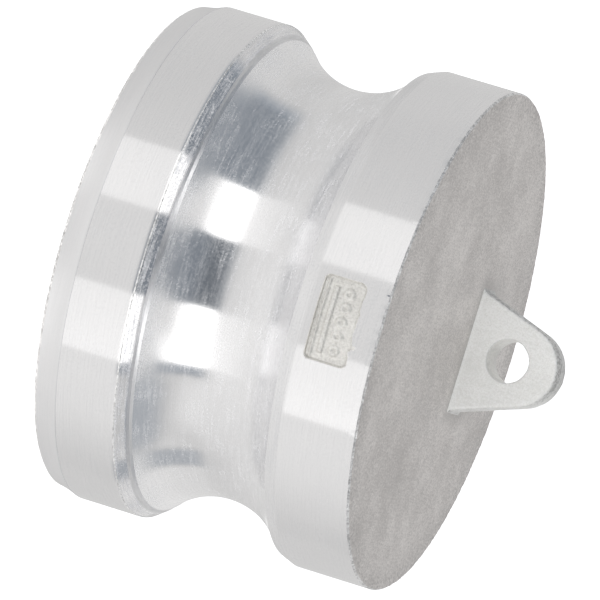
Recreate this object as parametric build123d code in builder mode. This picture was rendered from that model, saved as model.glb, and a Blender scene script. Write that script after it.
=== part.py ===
from build123d import *
import os
from math import asin, atan2, cos, pi, radians, sin, sqrt, tan

# Camlock dust plug for a 2 inch cam-and-groove coupling, millimetres.
# Origin: centre of the nose's sealing face. +Z runs along the axis to the closed end.
# +X is square to the chain lug's plate, on the side of the marking pad.

# Nose and head collar, which enter the coupler
head_radius = 31.45
nose_step = 0.75
nose_length = 3.2
nose_hollow = 0.1
nose_chamfer = 0.4
head_land = 7.7

# Front shoulder: a turned facet, a fine tool step and a narrow land
facet_length = 1.2
facet_angle = 38.0
step_length = 0.25
step_drop = 0.41
land_length = 0.36
land_drop = 0.15

# Cam groove
groove_radius = 11.4
groove_depth = 5.3

# Rear collar and its front chamfer
rear_radius = 31.5
rear_chamfer_length = 1.6
rear_chamfer_drop = 0.6
rear_length = 9.55
rear_edge_chamfer = 0.3

# Cast hollow behind the nose
neck_wall = 3.8
cavity_draft = 3.0
end_wall = 6.0
cavity_corner = 3.0
mouth_chamfer = 0.5

# Recessed marking pad on the rear collar
pad_width = 10.45
pad_height = 5.3
pad_depth = 0.35
pad_corner = 0.6
pad_edge_gap = 1.05
pad_turn = 2.8

# Chain lug on the closed end: outline sizes are those at its parting plane
lug_front_offset = 8.6
lug_front_thickness = 2.0
lug_back_thickness = 3.2
lug_front_draft = 3.0
lug_back_draft = 4.0
lug_side_offset = 0.3
lug_root_half_width = 7.8
lug_tip_radius = 5.2
lug_tip_height = 6.7
lug_edge_chamfer = 0.25
lug_flare = 0.2
lug_flare_slope = 45.0
eye_radius = 2.65
eye_height = 5.4
eye_side_offset = 0.2

# Radii and heights that follow from the sizes above
nose_radius = head_radius - nose_step
head_top = nose_length + head_land
facet_top = head_top + facet_length
facet_radius = head_radius - facet_length * tan(radians(facet_angle))
step_top = facet_top + step_length
step_radius = facet_radius - step_drop
groove_start = step_top + land_length
groove_start_radius = step_radius - land_drop
groove_floor_radius = head_radius - groove_depth
groove_centre_radius = groove_floor_radius + groove_radius
groove_centre = groove_start + sqrt(
    groove_radius**2 - (groove_centre_radius - groove_start_radius) ** 2
)
groove_end_radius = rear_radius - rear_chamfer_drop
groove_end = groove_centre + sqrt(
    groove_radius**2 - (groove_centre_radius - groove_end_radius) ** 2
)
rear_front = groove_end + rear_chamfer_length
body_height = rear_front + rear_length

cavity_floor = body_height - end_wall
neck_bore_radius = groove_floor_radius - neck_wall


def cavity_radius(height):
    """Radius of the drafted hollow at a height above the sealing face."""
    return neck_bore_radius - (height - groove_centre) * tan(radians(cavity_draft))


# Cutter for the pad: a rounded block down to a floor that is concentric with the collar
pad_centre = rear_front + pad_edge_gap + pad_height / 2
pad_floor_radius = rear_radius - pad_depth
pad_outward = (cos(radians(pad_turn)), sin(radians(pad_turn)), 0)
pad_plane = Plane(origin=(0, 0, pad_centre), x_dir=(-pad_outward[1], pad_outward[0], 0), z_dir=pad_outward)

with BuildPart() as pad_cutter:
    with BuildSketch(pad_plane):
        RectangleRounded(pad_width, pad_height, pad_corner)
    extrude(amount=rear_radius + pad_depth)
    with BuildSketch(Plane.XY.offset(pad_centre)):
        Circle(pad_floor_radius)
    extrude(amount=pad_height, both=True, mode=Mode.SUBTRACT)

# Plug body: the turned outline and the cast hollow, both about the Z axis
with BuildPart() as plug_body:
    with BuildSketch(Plane.XZ):
        with BuildLine():
            Polyline(
                (0, 0),
                (nose_radius - nose_chamfer, 0),
                (nose_radius, nose_chamfer),
            )
            SagittaArc((nose_radius, nose_chamfer), (head_radius, nose_length), nose_hollow)
            Polyline(
                (head_radius, nose_length),
                (head_radius, head_top),
                (facet_radius, facet_top),
                (step_radius, step_top),
                (groove_start_radius, groove_start),
            )
            ThreePointArc(
                (groove_start_radius, groove_start),
                (groove_floor_radius, groove_centre),
                (groove_end_radius, groove_end),
            )
            Polyline(
                (groove_end_radius, groove_end),
                (rear_radius, rear_front),
                (rear_radius, body_height - rear_edge_chamfer),
                (rear_radius - rear_edge_chamfer, body_height),
                (0, body_height),
                (0, 0),
            )
        make_face()
    revolve(axis=Axis.Z)

    with BuildSketch(Plane.XZ):
        with BuildLine():
            Polyline(
                (0, 0),
                (cavity_radius(0) + mouth_chamfer, 0),
                (cavity_radius(mouth_chamfer), mouth_chamfer),
                (cavity_radius(cavity_floor), cavity_floor),
                (0, cavity_floor),
                close=True,
            )
        make_face()
        floor_corner = vertices().group_by(Axis.Y)[-1].sort_by(Axis.X)[-1]
        chamfer(floor_corner, length=cavity_corner)
    revolve(axis=Axis.Z, mode=Mode.SUBTRACT)

    add(pad_cutter.part, mode=Mode.SUBTRACT)

plug_body.part.label = "plug_body"

# Chain lug: a plate drafted both ways from its parting plane and flared at the root.
# Its straight sides run from the root's corners, tangent to the round tip.
lug_thickness = lug_front_thickness + lug_back_thickness
lug_parting = -lug_front_offset - lug_front_thickness
lug_middle = -lug_front_offset - lug_thickness / 2
root_to_tip_centre = sqrt(lug_root_half_width**2 + lug_tip_height**2)
side_lean = (
    pi / 2 - asin(lug_tip_radius / root_to_tip_centre) - atan2(lug_tip_height, lug_root_half_width)
)
tangent_width = lug_tip_radius * cos(side_lean)
tangent_height = lug_tip_height + lug_tip_radius * sin(side_lean)
root_overlap = 1.0
lug_origin = (lug_parting, lug_side_offset, body_height)
lug_front_plane = Plane(origin=lug_origin, x_dir=(0, 1, 0), z_dir=(1, 0, 0))
lug_back_plane = Plane(origin=lug_origin, x_dir=(0, -1, 0), z_dir=(-1, 0, 0))

with BuildPart() as chain_lug:
    for plane, thickness, draft in (
        (lug_front_plane, lug_front_thickness, lug_front_draft),
        (lug_back_plane, lug_back_thickness, lug_back_draft),
    ):
        with BuildSketch(plane):
            with BuildLine():
                Polyline(
                    (-tangent_width, tangent_height),
                    (-lug_root_half_width, 0),
                    (-lug_root_half_width, -root_overlap),
                    (lug_root_half_width, -root_overlap),
                    (lug_root_half_width, 0),
                    (tangent_width, tangent_height),
                )
                ThreePointArc(
                    (tangent_width, tangent_height),
                    (0, lug_tip_height + lug_tip_radius),
                    (-tangent_width, tangent_height),
                )
            make_face()
        extrude(amount=thickness, taper=draft)
    chamfer(chain_lug.faces().filter_by(Axis.X).edges(), length=lug_edge_chamfer)
    split(bisect_by=Plane.XY.offset(body_height), keep=Keep.TOP)

    with BuildSketch(Plane.XY.offset(body_height)):
        with Locations((lug_middle, lug_side_offset)):
            RectangleRounded(
                lug_thickness + 2 * lug_flare,
                2 * (lug_root_half_width + lug_flare),
                lug_flare,
            )
    extrude(amount=lug_flare, taper=lug_flare_slope)

    with BuildSketch(lug_front_plane):
        with Locations((-eye_side_offset, eye_height)):
            Circle(eye_radius)
    extrude(amount=lug_thickness, both=True, mode=Mode.SUBTRACT)
chain_lug.part.label = "chain_lug"

os.makedirs("parts", exist_ok=True)
export_step(plug_body.part, "parts/plug_body.step")
export_step(chain_lug.part, "parts/chain_lug.step")
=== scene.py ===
import math

import bmesh
import bpy
import numpy as np
from mathutils import Matrix, Vector, noise


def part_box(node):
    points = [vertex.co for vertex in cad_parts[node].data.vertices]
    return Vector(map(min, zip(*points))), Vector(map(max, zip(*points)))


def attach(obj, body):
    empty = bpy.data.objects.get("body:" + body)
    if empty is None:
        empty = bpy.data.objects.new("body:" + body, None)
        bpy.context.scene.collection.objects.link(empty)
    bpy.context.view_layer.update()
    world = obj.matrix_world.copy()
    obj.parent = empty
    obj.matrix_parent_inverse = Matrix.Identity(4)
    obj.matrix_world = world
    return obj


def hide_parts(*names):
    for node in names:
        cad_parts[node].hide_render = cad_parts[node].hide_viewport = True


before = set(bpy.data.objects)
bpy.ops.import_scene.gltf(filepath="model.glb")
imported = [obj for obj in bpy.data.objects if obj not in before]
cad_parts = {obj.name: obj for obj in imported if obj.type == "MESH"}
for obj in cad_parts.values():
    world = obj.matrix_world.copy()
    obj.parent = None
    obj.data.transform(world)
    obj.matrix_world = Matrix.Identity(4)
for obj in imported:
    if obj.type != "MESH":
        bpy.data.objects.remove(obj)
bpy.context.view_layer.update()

MM = 0.001

# Sizes of the turned body, in millimetres
NOSE_RADIUS = 30.7
NOSE_LENGTH = 3.2
NOSE_CHAMFER = 0.4
NOSE_HOLLOW = 0.1
HEAD_RADIUS = 31.45
HEAD_TOP = 10.9
FACET_TOP = 12.1
FACET_RADIUS = 30.512
STEP_TOP = 12.35
STEP_RADIUS = 30.102
GROOVE_START = 12.71
GROOVE_START_RADIUS = 29.952
GROOVE_RADIUS = 11.4
GROOVE_FLOOR = 26.15
GROOVE_END_RADIUS = 30.9
REAR_RADIUS = 31.5
REAR_CHAMFER_LENGTH = 1.6
END_WALL = 6.0
NECK_BORE_RADIUS = 22.35
CAVITY_DRAFT = math.radians(3.0)
CAVITY_CORNER = 3.0
MOUTH_CHAMFER = 0.5

# The marking pad on the rear collar, in millimetres
PAD_WIDTH = 10.45
PAD_HEIGHT = 5.3
PAD_DEPTH = 0.35
PAD_CORNER = 0.6
PAD_EDGE_GAP = 1.05
PAD_TURN = 2.8

body_low, body_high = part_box("plug_body")
lug_low, lug_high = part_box("chain_lug")
BODY_TOP = body_high.z / MM
GROOVE_CENTRE_RADIUS = GROOVE_FLOOR + GROOVE_RADIUS
GROOVE_CENTRE = GROOVE_START + math.sqrt(
    GROOVE_RADIUS**2 - (GROOVE_CENTRE_RADIUS - GROOVE_START_RADIUS) ** 2
)
GROOVE_END = GROOVE_CENTRE + math.sqrt(
    GROOVE_RADIUS**2 - (GROOVE_CENTRE_RADIUS - GROOVE_END_RADIUS) ** 2
)
REAR_FRONT = GROOVE_END + REAR_CHAMFER_LENGTH
PAD_CENTRE = REAR_FRONT + PAD_EDGE_GAP + PAD_HEIGHT / 2


def smooth_step(value, start, end):
    """0 below start, 1 above end, smooth in between; start may be above end."""
    t = np.clip((value - start) / (end - start), 0, 1)
    return t * t * (3 - 2 * t)


def noise_at(points, scale, octaves=3, seed=0.0):
    """Fractal noise, about -1 to 1, at each row of points, which are in millimetres."""
    shift = Vector((seed, seed * 1.7, seed * 0.6))
    return np.array(
        [noise.fractal(Vector(p) * scale + shift, 0.6, 2.0, octaves) for p in points]
    )


# ---- materials -------------------------------------------------------------------------
class Nodes:
    """Short calls for building one node tree."""

    def __init__(self, tree):
        self.tree = tree

    def add(self, kind, **settings):
        node = self.tree.nodes.new(kind)
        for name, value in settings.items():
            setattr(node, name, value)
        return node

    def link(self, source, target):
        self.tree.links.new(source, target)

    def feed(self, value, socket):
        """A socket gets a link or a plain value."""
        if isinstance(value, bpy.types.NodeSocket):
            self.link(value, socket)
        else:
            socket.default_value = value

    def math(self, operation, a, b=0.0, clamp=False):
        node = self.add("ShaderNodeMath", operation=operation, use_clamp=clamp)
        self.feed(a, node.inputs[0])
        self.feed(b, node.inputs[1])
        return node.outputs[0]

    def ramp(self, value, start, end, low=0.0, high=1.0):
        """Smooth step from low at start to high at end."""
        node = self.add("ShaderNodeMapRange", interpolation_type="SMOOTHSTEP")
        self.feed(value, node.inputs["Value"])
        node.inputs["From Min"].default_value = start
        node.inputs["From Max"].default_value = end
        node.inputs["To Min"].default_value = low
        node.inputs["To Max"].default_value = high
        return node.outputs["Result"]

    def band(self, value, low, high, soft):
        """1 between low and high, 0 outside, with soft edges."""
        rise = self.ramp(value, low - soft, low + soft)
        fall = self.ramp(value, high - soft, high + soft, 1.0, 0.0)
        return self.math("MULTIPLY", rise, fall)

    def mix(self, share, a, b):
        node = self.add("ShaderNodeMix", data_type="FLOAT")
        self.feed(share, node.inputs[0])
        self.feed(a, node.inputs[2])
        self.feed(b, node.inputs[3])
        return node.outputs[0]

    def mix_colour(self, share, a, b):
        node = self.add("ShaderNodeMix", data_type="RGBA")
        self.feed(share, node.inputs[0])
        self.feed(a, node.inputs[6])
        self.feed(b, node.inputs[7])
        return node.outputs[2]

    def noise(self, vector, scale, detail=4.0, roughness=0.6):
        node = self.add("ShaderNodeTexNoise")
        self.link(vector, node.inputs["Vector"])
        node.inputs["Scale"].default_value = scale
        node.inputs["Detail"].default_value = detail
        node.inputs["Roughness"].default_value = roughness
        return node.outputs["Fac"]

    def place(self):
        """Place on the object, in metres."""
        return self.add("ShaderNodeTexCoord").outputs["Object"]

    def split(self, vector):
        node = self.add("ShaderNodeSeparateXYZ")
        self.link(vector, node.inputs[0])
        return node.outputs

    def join(self, x, y, z):
        node = self.add("ShaderNodeCombineXYZ")
        for value, socket in zip((x, y, z), node.inputs):
            self.feed(value, socket)
        return node.outputs[0]

    def bump(self, height, distance, strength=1.0, after=None):
        node = self.add("ShaderNodeBump")
        node.inputs["Distance"].default_value = distance
        node.inputs["Strength"].default_value = strength
        self.link(height, node.inputs["Height"])
        if after is not None:
            self.link(after, node.inputs["Normal"])
        return node.outputs[0]


def new_material(name):
    """A material with its Nodes and its shader."""
    material = bpy.data.materials.new(name)
    material.use_nodes = True
    return material, Nodes(material.node_tree), material.node_tree.nodes["Principled BSDF"]


def turning_marks(nodes, pitch, stretch=0.03):
    """Coordinates for lines round the axis: they change quickly along it and slowly round it."""
    x, y, z = nodes.split(nodes.place())
    slow = stretch / pitch
    return nodes.join(
        nodes.math("MULTIPLY", x, slow), nodes.math("MULTIPLY", y, slow), nodes.math("MULTIPLY", z, 1 / pitch)
    )


STREAK_PITCH = 0.00024


def turned_metal(name, light, dark, roughness, anisotropy, pitch, wear, dull_end=None, lean=0.0):
    """Lathe-turned aluminium: lines round the axis spread reflections along the axis.

    wear is the share of light that fine scratches scatter where they are thickest. dull_end gives two
    heights in metres, between which a rougher strip, darker and less metallic, fades out. lean tilts the finish along
    the axis.
    """
    material, nodes, shader = new_material(name)
    place = nodes.place()
    height = nodes.split(place)[2]
    lines = nodes.noise(turning_marks(nodes, pitch), 1.0, 3.0)
    clouds = nodes.noise(place, 90.0, 5.0)
    streaks = nodes.ramp(nodes.noise(turning_marks(nodes, STREAK_PITCH, 0.05), 1.0, 3.0, 0.6), 0.44, 0.62)
    scuffs = nodes.ramp(nodes.noise(place, 3200.0, 3.0, 0.7), 0.44, 0.66)
    patches = nodes.ramp(nodes.noise(place, 260.0, 3.0), 0.35, 0.65, 0.45, 1.0)
    worn = nodes.math("MULTIPLY", nodes.math("ADD", streaks, scuffs), patches)
    rough = nodes.math("ADD", roughness - 0.03, nodes.math("MULTIPLY", clouds, 0.06))
    if dull_end is not None:
        dull = nodes.ramp(height, *dull_end, 1.0, 0.0)
        rough = nodes.math("ADD", rough, nodes.math("MULTIPLY", dull, DULL_ROUGHNESS))
        # The strip darkens the colour and lowers the metal's share through worn
        worn = nodes.math("ADD", worn, nodes.math("MULTIPLY", dull, patches))
    shade = nodes.math("ADD", nodes.math("MULTIPLY", lines, 0.5), nodes.math("MULTIPLY", clouds, 0.5))
    shade = nodes.math("SUBTRACT", nodes.ramp(shade, 0.3, 0.7, 0.3, 1.2), nodes.math("MULTIPLY", worn, 0.5), clamp=True)
    nodes.link(nodes.mix_colour(shade, dark, light), shader.inputs["Base Color"])
    rough = nodes.math("ADD", rough, nodes.math("MULTIPLY", worn, 0.02))
    nodes.link(rough, shader.inputs["Roughness"])
    metal = nodes.math("SUBTRACT", 1.0, nodes.math("MULTIPLY", worn, wear), clamp=True)
    nodes.link(metal, shader.inputs["Metallic"])
    shader.inputs["Specular IOR Level"].default_value = 0.2
    shader.inputs["Anisotropic"].default_value = anisotropy
    shader.inputs["Anisotropic Rotation"].default_value = 0.25
    tangent = nodes.add("ShaderNodeTangent", direction_type="RADIAL", axis="Z")
    nodes.link(tangent.outputs[0], shader.inputs["Tangent"])
    relief = nodes.math("ADD", nodes.math("MULTIPLY", lines, LINE_DEPTH), nodes.math("MULTIPLY", height, lean))
    nodes.link(nodes.bump(relief, 1.0), shader.inputs["Normal"])
    return material


def cast_metal(name, light, dark, roughness, grain, depth, metallic=1.0, painted_shade_and_speckle=None, spread=0.12):
    """As-cast aluminium: matt, with sandy grain, pits and soft clouds; painted_shade_and_speckle darkens it, with
    painted shade and speckles, where its share is high.
    """
    material, nodes, shader = new_material(name)
    place = nodes.place()
    clouds = nodes.noise(place, 130.0, 4.0)
    broad = nodes.noise(place, 38.0, 2.0)
    sand = nodes.noise(place, grain, 2.0, 0.8)
    pits = nodes.ramp(nodes.noise(place, grain * 0.45, 2.0), 0.63, 0.72)
    x, y, z = nodes.split(place)
    drawn = nodes.join(nodes.math("MULTIPLY", x, 420.0), nodes.math("MULTIPLY", y, 4200.0), z)
    strokes = nodes.noise(drawn, 1.0, 3.0)
    coarse = nodes.math("ADD", nodes.math("MULTIPLY", clouds, 0.6), nodes.math("MULTIPLY", broad, 0.4))
    fine = nodes.math("ADD", nodes.math("MULTIPLY", sand, 0.8), nodes.math("MULTIPLY", strokes, 0.2))
    shade = nodes.math("ADD", nodes.math("MULTIPLY", fine, 0.6), nodes.math("MULTIPLY", coarse, 0.4))
    shade = nodes.math("SUBTRACT", shade, nodes.math("MULTIPLY", pits, 0.1))
    colour = nodes.mix_colour(nodes.ramp(shade, 0.5 - spread, 0.5 + spread), dark, light)
    if painted_shade_and_speckle is not None:
        # Painted shade, and speckles, mixed into the base colour
        share, shade_and_speckle_colour = painted_shade_and_speckle(nodes, place, sand)
        colour = nodes.mix_colour(share, colour, shade_and_speckle_colour)
    nodes.link(colour, shader.inputs["Base Color"])
    nodes.link(nodes.math("ADD", roughness - 0.06, nodes.math("MULTIPLY", sand, 0.12)), shader.inputs["Roughness"])
    shader.inputs["Metallic"].default_value = metallic
    nodes.link(nodes.bump(shade, depth), shader.inputs["Normal"])
    return material


LUG_PARTING = -0.0106
LUG_MIDDLE = -0.0112
LUG_HALF_THICKNESS = 0.0026
LUG_HALF_WIDTH = 0.0080
EYE_Y = 0.0001
EYE_Z = 0.047019
EYE_RADIUS = 0.00265


def lug_flank_painted_shade(nodes, place, sand):
    """Painted shade: the lug's outer sides are greyer than its faces by the way they face, darkest and speckled in
    front of the parting line; a painted shade line rings the eye's edge.
    """
    facing = nodes.split(nodes.add("ShaderNodeNewGeometry").outputs["Normal"])
    # Painted shade on the flanks, set by which way each surface faces, more on one side than the other
    flank = nodes.ramp(nodes.math("ABSOLUTE", facing[0]), 0.35, 0.85, 1.0, 0.0)
    flank = nodes.math("MULTIPLY", flank, nodes.ramp(facing[1], 0.2, 0.95, 1.0, 0.3))
    x, y, z = nodes.split(place)
    front = nodes.ramp(x, LUG_PARTING - 0.0003, LUG_PARTING + 0.0003, 0.6, 1.0)
    speckle = nodes.ramp(nodes.noise(place, 2300.0, 3.0), 0.44, 0.60, 0.45, 1.1)
    from_eye = nodes.math(
        "SQRT",
        nodes.math(
            "ADD",
            nodes.math("POWER", nodes.math("SUBTRACT", y, EYE_Y), 2),
            nodes.math("POWER", nodes.math("SUBTRACT", z, EYE_Z), 2),
        ),
    )
    outside = nodes.ramp(from_eye, EYE_RADIUS + 0.0003, EYE_RADIUS + 0.0008, 0.3, 1.0)
    # A painted shade line round the eye's edge on the lug's faces
    eye_rim = nodes.band(from_eye, EYE_RADIUS - 0.0001, EYE_RADIUS + 0.00012, 0.0001)
    share = nodes.math("MULTIPLY", nodes.math("MULTIPLY", flank, front), nodes.math("MULTIPLY", speckle, outside))
    eye_rim = nodes.math("MULTIPLY", eye_rim, nodes.ramp(nodes.math("ABSOLUTE", facing[0]), 0.35, 0.85, 0.0, 0.45))
    share = nodes.math("MAXIMUM", share, eye_rim)
    return share, (0.46, 0.45, 0.44, 1)


def pad_crease_painted_shade(nodes, place, sand):
    """Painted shade in the creases of the pad's relief, where the surface is hollow."""
    crease = nodes.add("ShaderNodeNewGeometry").outputs["Pointiness"]
    # Painted shade: the grey is strongest in the deepest creases
    return nodes.ramp(crease, 0.40, 0.495, 0.7, 0.0), (0.42, 0.41, 0.38, 1)


def lug_root_shade_and_rim_speckle(nodes, place, sand):
    """Painted shade darkens the end face close round the lug's root, and a painted shadow of the lug darkens it behind
    the lug; speckles darken it towards its rim.
    """
    x, y, z = nodes.split(place)
    deep = nodes.math("SUBTRACT", nodes.math("ABSOLUTE", nodes.math("SUBTRACT", x, LUG_MIDDLE)), LUG_HALF_THICKNESS)
    wide = nodes.math("SUBTRACT", nodes.math("ABSOLUTE", y), LUG_HALF_WIDTH)
    away = nodes.math("MAXIMUM", deep, wide)
    # Painted shade close round the lug's root
    close = nodes.ramp(away, 0.0, 0.0022, 0.45, 0.0)
    # Painted shadow cast by the lug on the end face behind it
    behind = nodes.ramp(x, -0.024, -0.014, 0.0, 0.4)
    behind = nodes.math("MULTIPLY", behind, nodes.ramp(x, -0.012, -0.010, 1.0, 0.0))
    behind = nodes.math("MULTIPLY", behind, nodes.ramp(wide, -0.001, 0.003, 1.0, 0.0))
    across = nodes.math("SQRT", nodes.math("ADD", nodes.math("POWER", x, 2), nodes.math("POWER", y, 2)))
    speckle = nodes.ramp(nodes.noise(place, 2600.0, 3.0), 0.45, 0.62)
    border = nodes.math("MULTIPLY", nodes.ramp(across, 0.0265, 0.0312, 0.0, 0.6), speckle)
    share = nodes.math("MAXIMUM", nodes.math("MAXIMUM", close, behind), border)
    return share, (0.50, 0.485, 0.475, 1)


TURNED_LIGHT, TURNED_DARK = (0.95, 0.945, 0.95, 1), (0.90, 0.897, 0.905, 1)
STEP_LIGHT, STEP_DARK = (0.82, 0.82, 0.83, 1), (0.66, 0.66, 0.67, 1)
FACET_DARK = (0.68, 0.68, 0.70, 1)
DULL_ROUGHNESS = 0.08
LINE_DEPTH = 0.000002
FACET_LEAN = 0.25
DULL_STRIP = (0.0128, 0.0160)
collar_metal = turned_metal("turned_collar", TURNED_LIGHT, TURNED_DARK, 0.11, 0.9, 0.00018, 0.05)
nose_metal = turned_metal("turned_nose", TURNED_LIGHT, TURNED_DARK, 0.3, 0.5, 0.0002, 0.05)
step_metal = turned_metal("turned_step", STEP_LIGHT, STEP_DARK, 0.36, 0.5, 0.0001, 0.25)
chamfer_metal = turned_metal("turned_chamfer", TURNED_LIGHT, STEP_LIGHT, 0.18, 0.7, 0.00018, 0.1)
groove_metal = turned_metal("turned_groove", TURNED_LIGHT, TURNED_DARK, 0.16, 0.9, 0.00014, 0.2, DULL_STRIP)
facet_metal = turned_metal("cut_facet", TURNED_LIGHT, FACET_DARK, 0.12, 0.6, 0.0001, 0.6, None, FACET_LEAN)
end_metal = cast_metal(
    "linished_end", (0.95, 0.92, 0.90, 1), (0.62, 0.595, 0.58, 1), 0.55, 4600.0, 0.00004, 1.0, lug_root_shade_and_rim_speckle
)
edge_metal = cast_metal("burred_edge", (1.0, 0.99, 0.98, 1), (0.46, 0.455, 0.45, 1), 0.45, 2400.0, 0.00005, 0.5)
pad_metal = cast_metal(
    "cast_pad", (0.91, 0.895, 0.86, 1), (0.57, 0.555, 0.525, 1), 0.5, 4200.0, 0.00002, 0.6, pad_crease_painted_shade, 0.2
)
hollow_metal = cast_metal("cast_hollow", (0.74, 0.73, 0.72, 1), (0.60, 0.59, 0.58, 1), 0.55, 1500.0, 0.00005)
lug_metal = cast_metal(
    "cast_lug", (1.0, 0.995, 0.975, 1), (0.86, 0.855, 0.825, 1), 0.5, 4200.0, 0.00005, 0.12, lug_flank_painted_shade
)
BODY_MATERIALS = {
    "collar": collar_metal,
    "nose": nose_metal,
    "step": step_metal,
    "chamfer": chamfer_metal,
    "groove": groove_metal,
    "facet": facet_metal,
    "end": end_metal,
    "edge": edge_metal,
    "pad": pad_metal,
    "hollow": hollow_metal,
}
SLOT_OF = {name: index for index, name in enumerate(BODY_MATERIALS)}


# ---- plug body -------------------------------------------------------------------------
def straight(start, end, steps):
    """Points from start to end, without the last."""
    t = np.arange(steps)[:, None] / steps
    return np.array(start) * (1 - t) + np.array(end) * t


def arc(centre, radius, start, end, steps):
    """Points on an arc between two angles in degrees, without the last."""
    t = np.radians(start + (end - start) * np.arange(steps) / steps)
    return np.c_[centre[0] + radius * np.cos(t), centre[1] + radius * np.sin(t)]


def hollow_taper(start, end, sag, steps):
    """Points on a shallow arc that sags inwards between start and end, without the last."""
    t = np.arange(steps) / steps
    line = straight(start, end, steps)
    line[:, 0] -= sag * 4 * t * (1 - t)
    return line


def body_profile():
    """Rings of the body as (radius, height), from the hollow's centre round to the end face's, with each band's finish."""
    floor = BODY_TOP - END_WALL

    def hollow_radius(height):
        return NECK_BORE_RADIUS - (height - GROOVE_CENTRE) * math.tan(CAVITY_DRAFT)

    corner_height = floor - CAVITY_CORNER
    corner_centre = (hollow_radius(corner_height) - CAVITY_CORNER, corner_height)
    mouth = hollow_radius(0) + MOUTH_CHAMFER
    edge = 0.12
    start_angle = 180 + math.degrees(math.asin((GROOVE_CENTRE - GROOVE_START) / GROOVE_RADIUS))
    end_angle = 180 - math.degrees(math.asin((GROOVE_END - GROOVE_CENTRE) / GROOVE_RADIUS))
    bands = [
        ("hollow", straight((0.4, floor), (corner_centre[0], floor), 8)),
        ("hollow", arc(corner_centre, CAVITY_CORNER, 90, 0, 10)),
        ("hollow", straight((hollow_radius(corner_height), corner_height), (hollow_radius(MOUTH_CHAMFER), MOUTH_CHAMFER), 14)),
        ("collar", straight((hollow_radius(MOUTH_CHAMFER), MOUTH_CHAMFER), (mouth, 0), 2)),
        ("collar", straight((mouth, 0), (NOSE_RADIUS - NOSE_CHAMFER, 0), 4)),
        ("edge", straight((NOSE_RADIUS - NOSE_CHAMFER, 0), (NOSE_RADIUS, NOSE_CHAMFER), 3)),
        ("nose", hollow_taper((NOSE_RADIUS, NOSE_CHAMFER), (HEAD_RADIUS, NOSE_LENGTH), NOSE_HOLLOW, 10)),
        ("step", straight((HEAD_RADIUS, NOSE_LENGTH), (HEAD_RADIUS, NOSE_LENGTH + edge), 1)),
        ("collar", straight((HEAD_RADIUS, NOSE_LENGTH + edge), (HEAD_RADIUS, HEAD_TOP - edge), 14)),
        ("edge", straight((HEAD_RADIUS, HEAD_TOP - edge), (HEAD_RADIUS - 0.05, HEAD_TOP + edge * 0.5), 2)),
        ("facet", straight((HEAD_RADIUS - 0.05, HEAD_TOP + edge * 0.5), (FACET_RADIUS, FACET_TOP), 5)),
        ("step", straight((FACET_RADIUS, FACET_TOP), (STEP_RADIUS, STEP_TOP), 3)),
        ("step", straight((STEP_RADIUS, STEP_TOP), (GROOVE_START_RADIUS, GROOVE_START), 3)),
        ("groove", arc((GROOVE_CENTRE_RADIUS, GROOVE_CENTRE), GROOVE_RADIUS, start_angle, end_angle, 56)),
        ("chamfer", straight((GROOVE_END_RADIUS, GROOVE_END), (REAR_RADIUS, REAR_FRONT), 5)),
        ("collar", straight((REAR_RADIUS, REAR_FRONT), (REAR_RADIUS, PAD_CENTRE - PAD_HEIGHT / 2 - 0.2), 4)),
        ("collar", straight((REAR_RADIUS, PAD_CENTRE - PAD_HEIGHT / 2 - 0.2), (REAR_RADIUS, PAD_CENTRE + PAD_HEIGHT / 2 + 0.2), 54)),
        ("collar", straight((REAR_RADIUS, PAD_CENTRE + PAD_HEIGHT / 2 + 0.2), (REAR_RADIUS, BODY_TOP - 0.25), 6)),
        ("edge", straight((REAR_RADIUS, BODY_TOP - 0.25), (REAR_RADIUS - 0.2, BODY_TOP), 3)),
        ("end", straight((REAR_RADIUS - 0.2, BODY_TOP), (REAR_RADIUS - 1.4, BODY_TOP), 8)),
        ("end", straight((REAR_RADIUS - 1.4, BODY_TOP), (0.4, BODY_TOP), 14)),
        ("end", np.array([(0.4, BODY_TOP)])),
    ]
    points = np.vstack([p for _, p in bands])
    finish = [name for name, p in bands for _ in range(len(p))]
    return points, finish


def column_angles():
    """Angles round the body in degrees, closer together at the pad."""
    step, pad_step = 0.45, 0.17
    low, high = PAD_TURN - 11.0, PAD_TURN + 11.0
    fine = np.arange(low, high, pad_step)
    coarse = np.linspace(high, low + 360, int((360 - 22) / step), endpoint=False)
    return np.concatenate([fine, coarse])


def pad_distance(arc_length, height):
    """Signed distance to the pad's outline in millimetres, positive inside."""
    half_width, half_height = PAD_WIDTH / 2 - PAD_CORNER, PAD_HEIGHT / 2 - PAD_CORNER
    aside, above = np.abs(arc_length) - half_width, np.abs(height) - half_height
    outside = np.hypot(np.maximum(aside, 0), np.maximum(above, 0))
    inside = np.minimum(np.maximum(aside, above), 0)
    return PAD_CORNER - outside - inside


def pad_marks(arc_length, height):
    """Height of the raised ledge, bar and pips on the pad's floor, in millimetres."""
    raised = np.zeros_like(arc_length)
    for place in (-3.5, -1.75, 0.0, 1.75, 3.5):
        reach = np.hypot(arc_length - place, height - 0.75)
        raised = np.maximum(raised, smooth_step(reach, 0.85, 0.5))
        raised -= 0.8 * smooth_step(reach, 0.4, 0.15)
    bar = np.maximum(np.abs(arc_length) - 4.1, np.abs(height + 0.95) - 0.3)
    raised = np.maximum(raised, smooth_step(bar, 0.15, -0.15))
    ledge = smooth_step(np.abs(height + PAD_HEIGHT / 2 - 0.62) - 0.1, 0.12, -0.05)
    return 0.24 * raised + 0.17 * ledge


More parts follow.
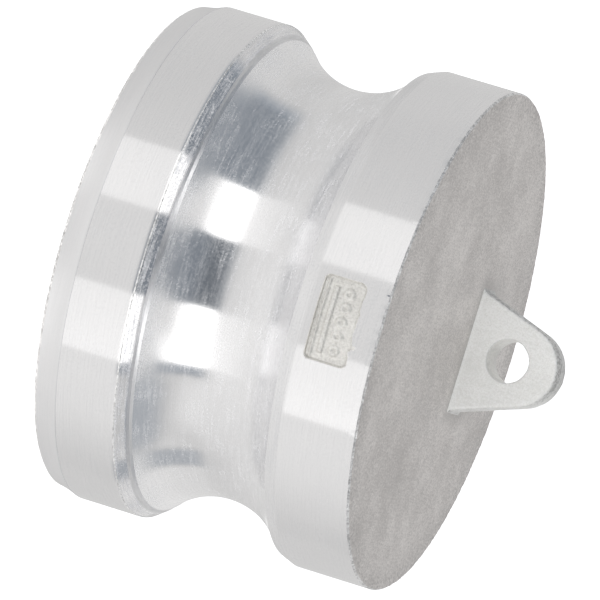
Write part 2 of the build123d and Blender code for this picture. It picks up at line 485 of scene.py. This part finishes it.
def make_body():
    """The turned body as one mesh of rings, with the pad sunk into the rear collar."""
    points, finish = body_profile()
    angles = np.radians(column_angles())
    rings, columns = len(points), len(angles)
    radius = np.repeat(points[:, 0], columns).reshape(rings, columns)
    height = np.repeat(points[:, 1], columns).reshape(rings, columns)
    turn = np.tile(angles, (rings, 1))

    arc_length = (np.degrees(turn) - PAD_TURN + 180) % 360 - 180
    arc_length = np.radians(arc_length) * REAR_RADIUS
    from_pad = height - PAD_CENTRE
    on_collar = (radius > REAR_RADIUS - 0.01) & (height > REAR_FRONT)
    near = on_collar & (np.abs(arc_length) < PAD_WIDTH / 2 + 0.6)
    inside = np.full_like(radius, -1.0)
    inside[near] = pad_distance(arc_length[near], from_pad[near])
    places = np.c_[arc_length[near], from_pad[near], np.zeros(near.sum())]
    ragged_side = smooth_step(from_pad[near], 0.5, 2.5)
    notch = np.hypot(arc_length[near] - 2.6, from_pad[near] - PAD_HEIGHT / 2)
    inside[near] += (0.16 * noise_at(places, 1.1, 4, 3.0) + 0.25 * smooth_step(notch, 0.6, 0.1)) * ragged_side
    sunk = np.zeros_like(radius)
    sunk[near] = smooth_step(inside[near], 0.0, 0.15) * (PAD_DEPTH - 0.01)
    floor_grain = 0.05 * noise_at(places, 1.6, 4, 8.0)
    marks = pad_marks(arc_length[near], from_pad[near])
    sunk[near] -= smooth_step(inside[near], 0.1, 0.45) * (marks + floor_grain)
    radius = radius - np.clip(sunk, 0, None)

    rim = smooth_step(np.abs(height - BODY_TOP) + np.clip(REAR_RADIUS - radius, 0, None), 0.55, 0.1)
    rim = np.where(radius > REAR_RADIUS - 1.0, rim, 0.0)
    burred = rim > 0.01
    spots = np.c_[
        radius[burred] * np.cos(turn[burred]),
        radius[burred] * np.sin(turn[burred]),
        height[burred],
    ]
    ragged = np.clip(0.5 + 1.2 * noise_at(spots, 1.8, 4, 5.0), 0, 1)
    radius[burred] -= 0.035 * ragged * rim[burred]
    height[burred] -= 0.05 * ragged * rim[burred]

    corners = np.stack([radius * np.cos(turn), radius * np.sin(turn), height], -1).reshape(-1, 3) * MM
    top, bottom = len(corners), len(corners) + 1
    poles = np.array([(0, 0, BODY_TOP - END_WALL), (0, 0, BODY_TOP)]) * MM
    corners = np.vstack([corners, poles])
    ring, column = np.meshgrid(np.arange(rings - 1), np.arange(columns), indexing="ij")
    following = (column + 1) % columns
    quads = np.stack(
        [
            ring * columns + column,
            ring * columns + following,
            (ring + 1) * columns + following,
            (ring + 1) * columns + column,
        ],
        -1,
    ).reshape(-1, 4)
    first = [(top, (c + 1) % columns, c) for c in range(columns)]
    last_ring = (rings - 1) * columns
    last = [(bottom, last_ring + c, last_ring + (c + 1) % columns) for c in range(columns)]
    mesh = bpy.data.meshes.new("plug_body_turned")
    mesh.from_pydata(corners.tolist(), [], quads.tolist() + first + last)
    mesh.update()

    slots = np.array([SLOT_OF[name] for name in finish[:-1]])
    of_face = np.repeat(slots, columns).reshape(rings - 1, columns)
    touched = np.maximum(inside[:-1], inside[1:])
    touched = np.maximum(touched, np.roll(touched, -1, axis=1))
    of_face[touched > 0] = SLOT_OF["pad"]
    of_face = np.concatenate([of_face.ravel(), np.full(columns, SLOT_OF["hollow"]), np.full(columns, SLOT_OF["end"])])
    for material in BODY_MATERIALS.values():
        mesh.materials.append(material)
    mesh.polygons.foreach_set("material_index", of_face.astype(np.int32))
    mesh.polygons.foreach_set("use_smooth", np.ones(len(mesh.polygons), bool))
    mesh.set_sharp_from_angle(angle=math.radians(24))
    body = bpy.data.objects.new("plug_body_turned", mesh)
    bpy.context.scene.collection.objects.link(body)
    return body


body = make_body()
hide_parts("plug_body")
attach(body, "root")


# ---- chain lug -------------------------------------------------------------------------
LUG_GRID = 0.12
LUG_ROUGHNESS = 0.05
ROOT_DEPTH = 0.6


def make_lug():
    """The lug with its sand-cast skin, carried a little way into the end wall."""
    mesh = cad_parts["chain_lug"].data.copy()
    mesh.name = "chain_lug_cast"
    mesh.materials.clear()
    work = bmesh.new()
    work.from_mesh(mesh)
    bmesh.ops.remove_doubles(work, verts=work.verts, dist=1e-6)
    work.normal_update()
    under = [f for f in work.faces if f.normal.z < -0.99 and f.calc_center_median().z < lug_low.z + 1e-6]
    moved = bmesh.ops.extrude_face_region(work, geom=under)["geom"]
    bmesh.ops.delete(work, geom=under, context="FACES_ONLY")
    lower = [v for v in moved if isinstance(v, bmesh.types.BMVert)]
    bmesh.ops.translate(work, verts=lower, vec=(0, 0, -ROOT_DEPTH * MM))
    bmesh.ops.recalc_face_normals(work, faces=work.faces)
    work.to_mesh(mesh)
    work.free()
    lug = bpy.data.objects.new("chain_lug_cast", mesh)
    bpy.context.scene.collection.objects.link(lug)
    remesh = lug.modifiers.new("skin", "REMESH")
    remesh.mode = "VOXEL"
    remesh.voxel_size = LUG_GRID * MM
    ease = lug.modifiers.new("ease", "SMOOTH")
    ease.factor = 0.5
    ease.iterations = 3
    graph = bpy.context.evaluated_depsgraph_get()
    skin = bpy.data.meshes.new_from_object(lug.evaluated_get(graph))
    lug.modifiers.clear()
    lug.data = skin
    skin.name = "chain_lug_cast"
    count = len(skin.vertices)
    place, normal = np.zeros(count * 3), np.zeros(count * 3)
    skin.vertices.foreach_get("co", place)
    skin.vertices.foreach_get("normal", normal)
    place, normal = place.reshape(-1, 3), normal.reshape(-1, 3)
    grain = noise_at(place / MM, 1.7, 4, 2.0)
    inward = -LUG_ROUGHNESS * np.clip(0.5 + 0.8 * grain, 0, 1.4)
    place += normal * (inward * MM)[:, None]
    skin.vertices.foreach_set("co", place.ravel())
    skin.materials.append(lug_metal)
    skin.polygons.foreach_set("use_smooth", np.ones(len(skin.polygons), bool))
    skin.update()
    return lug


lug = make_lug()
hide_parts("chain_lug")
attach(lug, "root")

# ---- camera ----------------------------------------------------------------------------
# A long lens whose picture plane is tilted and rolled against the plug's axis
CAMERA_TILT = math.radians(15.847)
CAMERA_ROLL = math.radians(17.022)
CAMERA_DISTANCE = 1.1215
FOCAL_PIXELS = 9185.6
PHOTO_SIZE = 600
SENSOR = 36.0
BODY_CENTRE_IN_PHOTO = (291.87, 294.39)


def make_camera():
    """Camera with the photograph's view of the body's centre."""
    tilt_cos, tilt_sin = math.cos(CAMERA_TILT), math.sin(CAMERA_TILT)
    forward = Vector((-tilt_cos, 0, -tilt_sin))
    along = Vector((-tilt_sin, 0, tilt_cos))
    across = Vector((0, 1, 0))
    roll_cos, roll_sin = math.cos(CAMERA_ROLL), math.sin(CAMERA_ROLL)
    right = roll_cos * along - roll_sin * across
    down = roll_sin * along + roll_cos * across
    centre = Vector((0, 0, body_high.z / 2))
    aside = [(p - PHOTO_SIZE / 2) / FOCAL_PIXELS * CAMERA_DISTANCE for p in BODY_CENTRE_IN_PHOTO]
    place = centre - forward * CAMERA_DISTANCE - right * aside[0] - down * aside[1]
    data = bpy.data.cameras.new("photo_camera")
    data.sensor_width = SENSOR
    data.lens = FOCAL_PIXELS * SENSOR / PHOTO_SIZE
    data.clip_start, data.clip_end = 0.01, 50
    camera = bpy.data.objects.new("photo_camera", data)
    turn = Matrix((right, -down, -forward)).transposed()
    camera.matrix_world = Matrix.Translation(place) @ turn.to_4x4()
    bpy.context.scene.collection.objects.link(camera)
    bpy.context.scene.camera = camera


make_camera()


# ---- floor and light -------------------------------------------------------------------
def make_floor():
    """One pale floor under the plug."""
    mesh = bpy.data.meshes.new("floor")
    half = 3.0
    mesh.from_pydata([(-half, -half, 0), (half, -half, 0), (half, half, 0), (-half, half, 0)], [], [(0, 1, 2, 3)])
    floor = bpy.data.objects.new("floor", mesh)
    bpy.context.scene.collection.objects.link(floor)
    material, nodes, shader = new_material("floor")
    shade = nodes.noise(nodes.place(), 2.0)
    nodes.link(nodes.mix_colour(shade, (0.9, 0.9, 0.9, 1), (0.94, 0.94, 0.94, 1)), shader.inputs["Base Color"])
    shader.inputs["Roughness"].default_value = 1.0
    shader.inputs["Specular IOR Level"].default_value = 0.0
    shader.inputs["Emission Color"].default_value = (1, 1, 1, 1)
    shader.inputs["Emission Strength"].default_value = 0.75
    mesh.materials.append(material)
    floor.visible_glossy = False


make_floor()

# Brightness of the studio. Each direction is named by the surface that would mirror it towards
# the photograph's side: its turn round the plug's axis and its slope to that axis, in degrees.
TABLE_LIGHT = 0.80
TABLE_FAR_LIGHT = 0.57
TABLE_MIDDLE = 12.0
TABLE_REACH = 85.0
EDGE_LIGHT = 0.62
EDGE_MIDDLE_LIGHT = 0.11
EDGE_RIGHT_LIGHT = 0.15
FRONT_SHADE = 0.16
HIGH_FRONT_SHADE = 0.24
SIDE_SHADE = 0.25
LEFT_LIGHT = 0.58
HIGH_LEFT_LIGHT = 0.68
FAR_RIGHT_LIGHT = 0.10
RIGHT_LIGHT = 0.80
HIGH_RIGHT_LIGHT = 0.32
LINE_SHADE = 0.36
SPOT_SHADE = 0.42
TOP_LIGHT = 0.62
GLARE_LIGHT = 1.3
WINDOW_LIGHT = 2.1
HIGH_WINDOW_LIGHT = 0.44
WINDOW_ON_TABLE = 0.175
LEFT_WINDOW = (-23.4, -8.9)
RIGHT_WINDOW = (10.1, 26.2)
RIGHT_WALL_START = 29.0
RIGHT_WALL_END = 47.0
DARK_LINE = (26.2, 29.4)
DARK_SPOT = (54.5, 62.5)
WINDOW_TOP = 46.0
SHADE_TINT = (0.90, 1.0, 1.13)
LIGHT_TINT = (1.005, 1.0, 0.992)


def make_studio():
    """World light that depends on the direction alone: a pale table, two tall windows and a dark front."""
    world = bpy.data.worlds.new("studio")
    bpy.context.scene.world = world
    world.use_nodes = True
    nodes = Nodes(world.node_tree)
    background = world.node_tree.nodes["Background"]
    x, y, z = nodes.split(nodes.add("ShaderNodeTexCoord").outputs["Generated"])
    half_x = nodes.math("ADD", x, math.cos(CAMERA_TILT))
    half_z = nodes.math("ADD", z, math.sin(CAMERA_TILT))
    turn = nodes.math("DEGREES", nodes.math("ARCTAN2", y, half_x))
    across = nodes.math("SQRT", nodes.math("ADD", nodes.math("POWER", half_x, 2), nodes.math("POWER", y, 2)))
    slope = nodes.math("DEGREES", nodes.math("ARCTAN2", half_z, across))

    front = nodes.ramp(slope, 17, 27, FRONT_SHADE, HIGH_FRONT_SHADE)
    right = nodes.ramp(slope, 10, 44, RIGHT_LIGHT, HIGH_RIGHT_LIGHT)
    wall = nodes.ramp(slope, 12, 40, LEFT_LIGHT, HIGH_LEFT_LIGHT)
    wall = nodes.math("ADD", wall, nodes.ramp(turn, 40, 64, 0.0, FAR_RIGHT_LIGHT))
    leaning = nodes.math("SUBTRACT", turn, nodes.ramp(slope, 34, 45, 0.0, 5.0))
    narrowed = nodes.math("MULTIPLY", turn, nodes.ramp(slope, 35, 45, 1.0, 1.45))
    beyond = nodes.math("SUBTRACT", turn, nodes.ramp(slope, 22, 36, 0.0, 7.0))
    near_right = nodes.math(
        "MULTIPLY",
        nodes.ramp(turn, RIGHT_WALL_START - 6, RIGHT_WALL_START + 6),
        nodes.ramp(beyond, RIGHT_WALL_END - 6, RIGHT_WALL_END + 6, 1.0, 0.0),
    )
    level = nodes.mix(near_right, wall, right)
    level = nodes.mix(nodes.band(leaning, -53, -8, 5), level, SIDE_SHADE)
    level = nodes.mix(nodes.band(turn, -16, 20, 4), level, front)
    level = nodes.mix(nodes.band(narrowed, *DARK_LINE, 0.7), level, LINE_SHADE)
    spot = nodes.math("MULTIPLY", nodes.band(turn, *DARK_SPOT, 1.5), nodes.ramp(slope, 36, 46, 1.0, 0.0))
    level = nodes.mix(spot, level, SPOT_SHADE)
    level = nodes.mix(nodes.ramp(slope, 50, 62), level, TOP_LIGHT)

    aside = nodes.math("ABSOLUTE", nodes.math("SUBTRACT", turn, TABLE_MIDDLE))
    table = nodes.ramp(aside, 0, TABLE_REACH, TABLE_LIGHT, TABLE_FAR_LIGHT)
    middle = nodes.ramp(nodes.math("ABSOLUTE", turn), 0, 45, EDGE_MIDDLE_LIGHT, 0.0)
    beside = nodes.math("ABSOLUTE", nodes.math("SUBTRACT", turn, 34.0))
    beside = nodes.ramp(beside, 2, 28, EDGE_RIGHT_LIGHT, 0.0)
    edge = nodes.math("ADD", EDGE_LIGHT, nodes.math("ADD", middle, beside))
    table = nodes.mix(nodes.ramp(slope, -24, -2), table, edge)
    sideways = nodes.math("ABSOLUTE", turn)
    glare = nodes.math("ADD", slope, nodes.math("SUBTRACT", 125.0, nodes.math("MULTIPLY", sideways, 1.1)))
    glare = nodes.math("MULTIPLY", nodes.band(glare, -7, 7, 4), nodes.ramp(sideways, 63, 70))
    table = nodes.mix(glare, table, GLARE_LIGHT)
    level = nodes.mix(nodes.ramp(slope, 2.0, 8.5), table, level)

    windows = nodes.math(
        "ADD",
        nodes.band(narrowed, *LEFT_WINDOW, 0.35),
        nodes.band(narrowed, *RIGHT_WINDOW, 0.35),
        clamp=True,
    )
    glow = nodes.ramp(slope, -26, 0, 0.0, WINDOW_ON_TABLE)
    direct = nodes.ramp(slope, 17, 33, WINDOW_LIGHT, HIGH_WINDOW_LIGHT)
    direct = nodes.math("MULTIPLY", direct, nodes.ramp(slope, 4.0, 9.5))
    fall = nodes.ramp(slope, WINDOW_TOP - 2, WINDOW_TOP + 4, 1.0, 0.0)
    lit = nodes.math("MULTIPLY", nodes.math("MAXIMUM", glow, direct), fall)
    level = nodes.math("ADD", level, nodes.math("MULTIPLY", windows, lit))

    tint = nodes.mix_colour(nodes.ramp(level, 0.25, 0.6), (*SHADE_TINT, 1), (*LIGHT_TINT, 1))
    seen = nodes.add("ShaderNodeLightPath").outputs["Is Camera Ray"]
    nodes.link(nodes.mix_colour(seen, tint, (1, 1, 1, 1)), background.inputs["Color"])
    nodes.link(nodes.mix(seen, level, 1.0), background.inputs["Strength"])


make_studio()
bpy.context.scene.view_settings.view_transform = "Standard"
